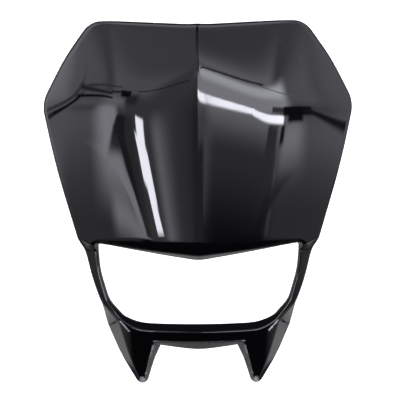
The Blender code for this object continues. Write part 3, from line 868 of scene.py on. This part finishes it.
@dataclass(frozen=True)
class GlossMouldedABS:
    """ABS injection moulded in solid black against a polished mould.

    A mirror-like skin over a black body: the eye sees hard reflections at about 4% from the front and much
    more at a glance, bent by a slight waviness where the wall sank as it cooled.
    """

    name: str
    texture: Texture
    colour: str = "#060608"
    # pale colour of the chips, the dust and the painted highlight lines
    pale_wear_and_highlight: str = "#d0d0d2"
    ior: float = 1.5
    roughness: float = 0.018
    haze: float = 0.03
    film_mm: float = 26.3
    film_range: tuple[float, float] = (0.35, 0.75)
    wave_mm: float = 26.0
    wave_height_mm: float = 0.012
    peel_mm: float = 2.6
    peel_height_mm: float = 0.0006
    grit_mm: float = 0.714
    chip_and_highlight_range: tuple[float, float] = (0.30, 0.44)
    chip_height_mm: float = 0.2
    chip_roughness: float = 0.7
    dust_mm: float = 7.0
    speck_range: tuple[float, float] = (0.030, 0.050)
    patch_mm: float = 47.6
    patch_range: tuple[float, float] = (0.52, 0.62)
    dust_strength: float = 0.30

    def material(self) -> bpy.types.Material:
        """The node material.

        Returns:
            The material, with wear and dust where the face is polished.
        """
        made = bpy.data.materials.new(self.name)
        made.use_nodes = True
        tree = made.node_tree
        shader = tree.nodes["Principled BSDF"]
        shader.inputs["IOR"].default_value = self.ior
        shader.inputs["Metallic"].default_value = 0.0
        sums, ramp, mix = "ShaderNodeMath", "ShaderNodeMapRange", "ShaderNodeMix"
        noise, bump = "ShaderNodeTexNoise", "ShaderNodeBump"
        multiply, largest = {"operation": "MULTIPLY"}, {"operation": "MAXIMUM"}
        place = {"Vector": node(tree, "ShaderNodeTexCoord").outputs["Object"]}
        # a hazy film left by hands and polish, in patches about an inch wide
        film = node(tree, noise, {**place, "Scale": 1000 / self.film_mm, "Detail": 6.0, "Roughness": 0.62})
        low, high = self.film_range
        clear, hazy = self.roughness, self.roughness + self.haze
        ends = {"From Min": low, "From Max": high, "To Min": clear, "To Max": hazy}
        gloss = node(tree, ramp, {"Value": film.outputs["Fac"], **ends}).outputs[0]
        if self.texture is Texture.PLAIN:
            tree.links.new(gloss, shader.inputs["Roughness"])
            shader.inputs["Base Color"].default_value = linear(self.colour)
            return made
        # sinking and a trace of orange peel, which bend the reflections
        wave = node(tree, noise, {**place, "Scale": 1000 / self.wave_mm, "Detail": 1.0}).outputs["Fac"]
        peel = node(tree, noise, {**place, "Scale": 1000 / self.peel_mm, "Detail": 2.0}).outputs["Fac"]
        wavy = node(tree, bump, {"Height": wave, "Distance": self.wave_height_mm / 1000, "Strength": 1.0})
        under = {"Distance": self.peel_height_mm / 1000, "Normal": wavy.outputs["Normal"]}
        fine = node(tree, bump, {"Height": peel, **under})
        # chips and painted highlight lines, pale, where the attribute says so, as coarse as the picture
        # needs to show them
        grit = node(tree, noise, {**place, "Scale": 1000 / self.grit_mm, "Detail": 3.0}).outputs["Fac"]
        wear_and_highlight = node(tree, "ShaderNodeAttribute", settings={"attribute_name": "wear_and_highlight_share"}).outputs["Fac"]
        worn_and_highlit = node(tree, sums, {0: wear_and_highlight, 1: grit}, multiply).outputs[0]
        low, high = self.chip_and_highlight_range
        chips_and_highlights = node(tree, ramp, {"Value": worn_and_highlit, "From Min": low, "From Max": high}).outputs[0]
        # dust: a speck in the middle of some cells, in patches
        cells = node(tree, "ShaderNodeTexVoronoi", {**place, "Scale": 1000 / self.dust_mm})
        low, high = self.speck_range
        ends = {"From Min": low, "From Max": high, "To Min": 1.0, "To Max": 0.0}
        speck = node(tree, ramp, {"Value": cells.outputs["Distance"], **ends}).outputs[0]
        patch = node(tree, noise, {**place, "Scale": 1000 / self.patch_mm, "Detail": 3.0}).outputs["Fac"]
        low, high = self.patch_range
        some = node(tree, ramp, {"Value": patch, "From Min": low, "From Max": high}).outputs[0]
        dust = node(tree, sums, {0: speck, 1: some}, multiply).outputs[0]
        faint = node(tree, sums, {0: dust, 1: self.dust_strength}, multiply).outputs[0]
        light = node(tree, sums, {0: chips_and_highlights, 1: faint}, largest).outputs[0]
        # black, with the pale colour on chips, dust and the painted highlight lines
        colours = {6: linear(self.colour), 7: linear(self.pale_wear_and_highlight)}
        paint = node(tree, mix, {"Factor": light, **colours}, {"data_type": "RGBA"})
        rough = node(tree, mix, {"Factor": chips_and_highlights, 2: gloss, 3: self.chip_roughness})
        over = {"Distance": self.chip_height_mm / 1000, "Normal": fine.outputs["Normal"]}
        relief = node(tree, bump, {"Height": chips_and_highlights, **over})
        tree.links.new(paint.outputs[2], shader.inputs["Base Color"])
        tree.links.new(rough.outputs[0], shader.inputs["Roughness"])
        tree.links.new(relief.outputs["Normal"], shader.inputs["Normal"])
        return made


@dataclass(frozen=True)
class Panel:
    """A soft-edged rectangle on the studio's walls, as seen from the mask: a softbox, a pale wall or a flag.

    Directions are in degrees: azimuth 0 is straight out of the mask's front and grows to the viewer's right.
    slope is the rise of elevation with azimuth, bend the rise with its square, lean the drift of azimuth
    with elevation, and level the radiance, where 1 is white paper.
    """

    azimuth: float
    elevation: float
    half_width: float
    half_height: float
    soft: float
    level: float
    slope: float = 0.0
    lean: float = 0.0
    bend: float = 0.0


@dataclass
class Studio:
    """A pale room with a dark floor round it, soft panels on its walls, a paper floor and the camera."""

    camera_distance: float = 0.7523
    camera_height: float = -0.08408
    lens: float = 77.78
    sensor_width: float = 36.0
    clip: tuple[float, float] = (0.01, 50.0)
    roll: float = 0.34
    sight_x: float = 0.00146
    floor_z: float = -0.62
    floor_front: float = -4.0
    floor_back: float = 1.6
    floor_bend: float = 0.5
    floor_bend_steps: int = 24
    floor_half_width: float = 3.0
    backdrop_height: float = 3.0
    # the paper to the gloss: ranges in metres and levels, each from the first value to the second
    aside_range: tuple[float, float] = (0.3, 0.65)
    aside_levels: tuple[float, float] = (0.14, 0.29)
    away_slope: float = 0.35
    away_range: tuple[float, float] = (0.2, 0.6)
    height_range: tuple[float, float] = (0.3, 0.6)
    band_slope: float = 0.7
    band_place: float = 1.29
    band_range: tuple[float, float] = (0.02, 0.10)
    paper_roughness: float = 0.9
    camera_glow: float = 0.6
    # the room to the gloss: levels, and the elevations in degrees over which they pass into each other
    floor_level: float = 0.03
    wall_level: float = 0.75
    ceiling_level: float = 1.9
    floor_edge: tuple[float, float] = (-5.0, -1.0)
    ceiling_edge: tuple[float, float] = (48.0, 66.0)
    panels: tuple[Panel, ...] = (
        # azimuth, elevation, half width, half height, softness, level
        # left wall, its bright window and the pale cap above
        Panel(-99, 20, 7, 26, 3, 2.0),
        Panel(-84, 10.5, 12, 8, 3.5, 1.25),
        Panel(-88, 25, 7, 5, 2.5, 1.2),
        Panel(-42, 42, 32, 7, 5, 0.95),
        Panel(-56, 33, 19, 7, 4, 1.5, bend=-0.016),
        Panel(-70, 18, 9, 4, 4, 2.3),
        Panel(-84, -4, 18, 3.5, 3.5, 0.45),
        Panel(-85, 12, 5, 2, 2, 0.8),
        Panel(-75.5, 6.5, 5, 7, 3, 3.9),
        Panel(-52, 21.5, 7, 4, 3, 0.35),
        Panel(-60.0, 7.5, 12, 3.0, 0.8, 0.45, slope=0.15, lean=1.1),
        Panel(-57.0, 2.0, 12, 3.2, 0.8, 0.42, lean=-1.5),
        Panel(-67.8, 7, 4, 2.6, 1.4, 0.2, lean=1.1),
        Panel(-66, 2.7, 4, 2.2, 1.4, 0.2, lean=-1.5),
        Panel(-65.1, -0.5, 5, 2.4, 1.6, 3.8, lean=-4.1),
        Panel(-68.5, -2.2, 9.5, 1.3, 1.4, 3.2),
        Panel(-47, 5, 5, 8, 5, 0.75),
        # doorway ahead, with the dark ceiling over it
        Panel(0, 68, 24, 17, 5, 0.1),
        Panel(180, 66, 50, 22, 5, 0.1),
        Panel(-180, 66, 50, 22, 5, 0.1),
        Panel(-20, 30, 9, 5, 4, 1.1),
        Panel(2, 5, 29, 12, 4, 0.3),
        Panel(-32.6, 6.5, 1.8, 7, 2.6, 2.6),
        # the wall's dark lines on the left
        Panel(-39, 26.6, 9, 0.4, 0.4, 0.25, slope=-0.3),
        Panel(-92.4, 17, 2.4, 2.2, 1.0, 0.5, slope=2.7),
        Panel(-82.5, 20.2, 8, 0.75, 0.4, 0.05, bend=-0.012),
        Panel(-91.2, 14, 2.4, 2.0, 0.8, 0.06, slope=2.7),
        Panel(-83, 23.0, 7.5, 0.8, 0.6, 0.25),
        Panel(-70, 25.8, 7, 0.9, 0.6, 0.3, slope=0.27),
        Panel(-77, 27.2, 11, 0.4, 0.4, 0.5, slope=0.3),
        Panel(-60, 26.3, 6, 3, 1.2, 0.05, slope=0.1),
        # lamp strip on the left
        Panel(-43.7, 10.5, 3.6, 2.1, 0.5, 22, lean=0.3),
        Panel(-44.2, 6.8, 5.3, 2.0, 0.5, 22, lean=-0.4),
        Panel(-41.3, 4.0, 3.4, 1.7, 0.4, 22, slope=0.2, lean=-1.2),
        # right: window, glow above its frame, band, shade below
        Panel(97.5, 15, 5.5, 24, 3, 1.15),
        Panel(83, 21, 7, 8, 4, 1.35),
        Panel(84, 4, 13, 3, 3, 1.3),
        Panel(78, 3.5, 3.5, 2.5, 2.5, 3.2),
        Panel(84, -4, 14, 3.5, 3.5, 0.45),
        Panel(46, 39, 20, 4, 5, 2.4, slope=-0.25),
        Panel(50, 21, 27, 10, 3, 4.4, slope=-0.12),
        Panel(50, 27.5, 25, 5, 4, 7.5, slope=-0.17),
        Panel(49.5, 6.0, 24, 5.0, 0.8, 2.6, slope=-0.215),
        Panel(49.5, -3.75, 24, 12, 2.2, 0.52, slope=-0.215),
        Panel(66, 4, 5.5, 3.4, 1.8, 0.5, slope=-0.215),
        Panel(67.5, -1.8, 5.5, 1.8, 1.0, 0.35, lean=3.5),
        Panel(49.5, -9.0, 24, 12, 3.5, 0.04, slope=-0.215),
        Panel(70, 10.6, 7, 1.5, 1.0, 0.6, slope=-0.2),
        Panel(33, 15.85, 7.5, 0.95, 0.4, 23, slope=-0.15, bend=-0.006),
        Panel(57, 9.85, 17.5, 1.0, 0.4, 23, slope=-0.225, bend=0.0022),
        Panel(14.5, 14, 12, 2.2, 1, 1.1),
        Panel(14.5, 23.5, 12, 7, 3, 4.4),
        Panel(14.5, 17.3, 12, 1.0, 0.4, 23, slope=-0.06),
        Panel(43, 36.6, 13, 0.7, 0.5, 0.25, bend=-0.016),
        Panel(67, 26.4, 15, 0.4, 0.4, 1.6, slope=-0.5),
        # dark wedge and line on the right
        Panel(79.5, 9.6, 5.5, 2.2, 0.8, 0.04),
        Panel(79.2, 7.8, 2.6, 2.2, 0.6, 0.04),
        Panel(88, 7.0, 6, 1.1, 0.7, 0.1, slope=-0.5),
        Panel(74.5, 4.2, 1.0, 1.2, 0.5, 0.1),
    )

    def floor(self) -> bpy.types.Object:
        """A pale floor that curves up into a backdrop: level, a quarter circle, then upright.

        Returns:
            The floor.
        """
        radius, back = self.floor_bend, self.floor_back
        turn = np.linspace(0, math.pi / 2, self.floor_bend_steps + 1)
        y = np.concatenate([[self.floor_front], back + radius * np.sin(turn), [back + radius]])
        z = np.concatenate([[0.0], radius * (1 - np.cos(turn)), [self.backdrop_height]]) + self.floor_z
        x = np.array([-self.floor_half_width, self.floor_half_width])
        points = np.stack(np.broadcast_arrays(x[:, None], y[None], z[None]), axis=-1).reshape(-1, 3)
        mesh = make_mesh("studio_floor", points, grid_faces(2, len(y), (False, False)))
        mesh.materials.append(self.paper())
        made = bpy.data.objects.new("studio_floor", mesh)
        bpy.context.scene.collection.objects.link(made)
        return made

    def paper(self) -> bpy.types.Material:
        """Matt paper, white to the camera; the gloss mirrors it dark in front and paler beside and behind.

        Its level to the gloss is a product of ramps: up with |x|, up with away_slope * |x| + y, down with
        the height, and up with how far |x| + band_slope * y is from band_place, which leaves a dark band.

        Returns:
            The material.
        """
        made = bpy.data.materials.new("studio_paper")
        made.use_nodes = True
        tree = made.node_tree
        shader = tree.nodes["Principled BSDF"]
        sums, ramp, mix = "ShaderNodeMath", "ShaderNodeMapRange", "ShaderNodeMix"
        weigh, multiply = {"operation": "MULTIPLY_ADD"}, {"operation": "MULTIPLY"}
        size, subtract = {"operation": "ABSOLUTE"}, {"operation": "SUBTRACT"}
        seen = node(tree, "ShaderNodeLightPath").outputs["Is Camera Ray"]
        place = node(tree, "ShaderNodeSeparateXYZ", {0: node(tree, "ShaderNodeTexCoord").outputs["Object"]})
        x, y, z = place.outputs
        aside = node(tree, sums, {0: x}, size).outputs[0]
        away = node(tree, sums, {0: aside, 1: self.away_slope, 2: y}, weigh).outputs[0]
        outward = node(tree, sums, {0: y, 1: self.band_slope, 2: aside}, weigh).outputs[0]
        off = node(tree, sums, {0: outward, 1: self.band_place}, subtract).outputs[0]
        band = node(tree, sums, {0: off}, size).outputs[0]
        heights = tuple(self.floor_z + height for height in self.height_range)
        ramps = (
            (aside, self.aside_range, self.aside_levels),
            (away, self.away_range, (0.0, 1.0)),
            (z, heights, (1.0, 0.0)),
            (band, self.band_range, (0.0, 1.0)),
        )
        level = 1.0
        for value, (low, high), (first, last) in ramps:
            ends = {"From Min": low, "From Max": high, "To Min": first, "To Max": last}
            share = node(tree, ramp, {"Value": value, **ends}).outputs[0]
            level = node(tree, sums, {0: level, 1: share}, multiply).outputs[0]
        colours = {6: linear("#1c1c1e"), 7: linear("#f0f0f0")}
        sheet = node(tree, mix, {"Factor": seen, **colours}, {"data_type": "RGBA"})
        glow = node(tree, mix, {"Factor": seen, 2: level, 3: self.camera_glow})
        tree.links.new(sheet.outputs[2], shader.inputs["Base Color"])
        tree.links.new(glow.outputs[0], shader.inputs["Emission Strength"])
        shader.inputs["Emission Color"].default_value = (1, 1, 1, 1)
        shader.inputs["Roughness"].default_value = self.paper_roughness
        shader.inputs["Specular IOR Level"].default_value = 0.0
        return made

    def world(self) -> None:
        """White to the camera; round the mask, walls over a dark floor, a ceiling and the panels.

        A panel's share is the product of two smooth steps, one of the distance from its middle in azimuth
        and one in elevation. Each panel is laid over those before it.
        """
        world = bpy.data.worlds.new("studio")
        bpy.context.scene.world = world
        world.use_nodes = True
        tree = world.node_tree
        tree.nodes.clear()
        sums, ramp, mix = "ShaderNodeMath", "ShaderNodeMapRange", "ShaderNodeMix"
        weigh, multiply = {"operation": "MULTIPLY_ADD"}, {"operation": "MULTIPLY"}
        size, add = {"operation": "ABSOLUTE"}, {"operation": "ADD"}
        smoothly = {"interpolation_type": "SMOOTHSTEP"}
        degrees = math.degrees(1)
        way = node(tree, "ShaderNodeSeparateXYZ", {0: node(tree, "ShaderNodeTexCoord").outputs["Generated"]})
        front = node(tree, sums, {0: way.outputs["Y"], 1: -1.0}, multiply).outputs[0]
        turn = node(tree, sums, {0: way.outputs["X"], 1: front}, {"operation": "ARCTAN2"}).outputs[0]
        climb = node(tree, sums, {0: way.outputs["Z"]}, {"operation": "ARCSINE"}).outputs[0]
        azimuth = node(tree, sums, {0: turn, 1: degrees}, multiply).outputs[0]
        elevation = node(tree, sums, {0: climb, 1: degrees}, multiply).outputs[0]
        low, high = self.floor_edge
        ends = {"From Min": low, "From Max": high, "To Min": self.floor_level, "To Max": self.wall_level}
        walls = node(tree, ramp, {"Value": elevation, **ends}, smoothly).outputs[0]
        low, high = self.ceiling_edge
        more = self.ceiling_level - self.wall_level
        ends = {"From Min": low, "From Max": high, "To Min": 0.0, "To Max": more}
        above = node(tree, ramp, {"Value": elevation, **ends}, smoothly).outputs[0]
        level = node(tree, sums, {0: walls, 1: above}, add).outputs[0]
        for panel in self.panels:
            across = node(tree, sums, {0: azimuth, 1: -panel.azimuth}, add).outputs[0]
            up = node(tree, sums, {0: elevation, 1: -panel.elevation}, add).outputs[0]
            leant = node(tree, sums, {0: up, 1: -panel.lean, 2: across}, weigh).outputs[0]
            risen = node(tree, sums, {0: across, 1: -panel.slope, 2: up}, weigh).outputs[0]
            square = node(tree, sums, {0: across, 1: across}, multiply).outputs[0]
            bent = node(tree, sums, {0: square, 1: -panel.bend, 2: risen}, weigh).outputs[0]
            shares = []
            for gap, half in ((leant, panel.half_width), (bent, panel.half_height)):
                distance = node(tree, sums, {0: gap}, size).outputs[0]
                ends = {"From Min": half + panel.soft, "From Max": half - panel.soft}
                shares.append(node(tree, ramp, {"Value": distance, **ends}, smoothly).outputs[0])
            inside = node(tree, sums, {0: shares[0], 1: shares[1]}, multiply).outputs[0]
            level = node(tree, mix, {"Factor": inside, 2: level, 3: panel.level}).outputs[0]
        seen = node(tree, "ShaderNodeLightPath").outputs["Is Camera Ray"]
        strength = node(tree, mix, {"Factor": seen, 2: level, 3: 1.0}).outputs[0]
        colours = {6: linear("#f4f5ff"), 7: (1, 1, 1, 1)}
        tint = node(tree, mix, {"Factor": seen, **colours}, {"data_type": "RGBA"}).outputs[2]
        back = node(tree, "ShaderNodeBackground", {"Color": tint, "Strength": strength})
        node(tree, "ShaderNodeOutputWorld", {"Surface": back.outputs[0]})

    def camera(self) -> bpy.types.Object:
        """The camera, square to the mirror plane and slightly rolled, as far off as the photograph's.

        Returns:
            The camera.
        """
        data = bpy.data.cameras.new("camera")
        data.lens = self.lens
        data.sensor_width = self.sensor_width
        data.clip_start, data.clip_end = self.clip
        made = bpy.data.objects.new("camera", data)
        made.location = (self.sight_x, -self.camera_distance, self.camera_height)
        made.rotation_euler = (math.pi / 2, math.radians(self.roll), 0)
        bpy.context.scene.collection.objects.link(made)
        bpy.context.scene.camera = made
        return made

    def build(self) -> None:
        """Sets up the camera, the floor and the room."""
        self.camera()
        self.floor()
        self.world()
        bpy.context.scene.view_settings.view_transform = "Standard"


def place_piece(name: str, mesh: bpy.types.Mesh, finish: bpy.types.Material) -> bpy.types.Object:
    """Makes a piece of the mask from a mesh, with its place in the mesh.

    Args:
        name: the piece's name.
        mesh: its mesh.
        finish: its material.

    Returns:
        The object, riding on the mask's body.
    """
    mesh.materials.append(finish)
    made = bpy.data.objects.new(name, mesh)
    bpy.context.scene.collection.objects.link(made)
    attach(made, "root")
    log.info("%s: %d faces", name, len(mesh.polygons))
    return made


def main() -> None:
    """Builds the mask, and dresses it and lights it."""
    logging.basicConfig(level=logging.INFO)
    Studio().build()
    face = GlossMouldedABS("gloss_moulded_abs", Texture.POLISHED)
    shell = place_piece("mask_shell_fine", MaskShell().mesh(), face.material())
    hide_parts("mask_shell")
    hidden = GlossMouldedABS("plain_moulded_abs", Texture.PLAIN)
    place_piece("back_fixings", BackFixings().mesh(), hidden.material())


if __name__ == "__main__":
    main()
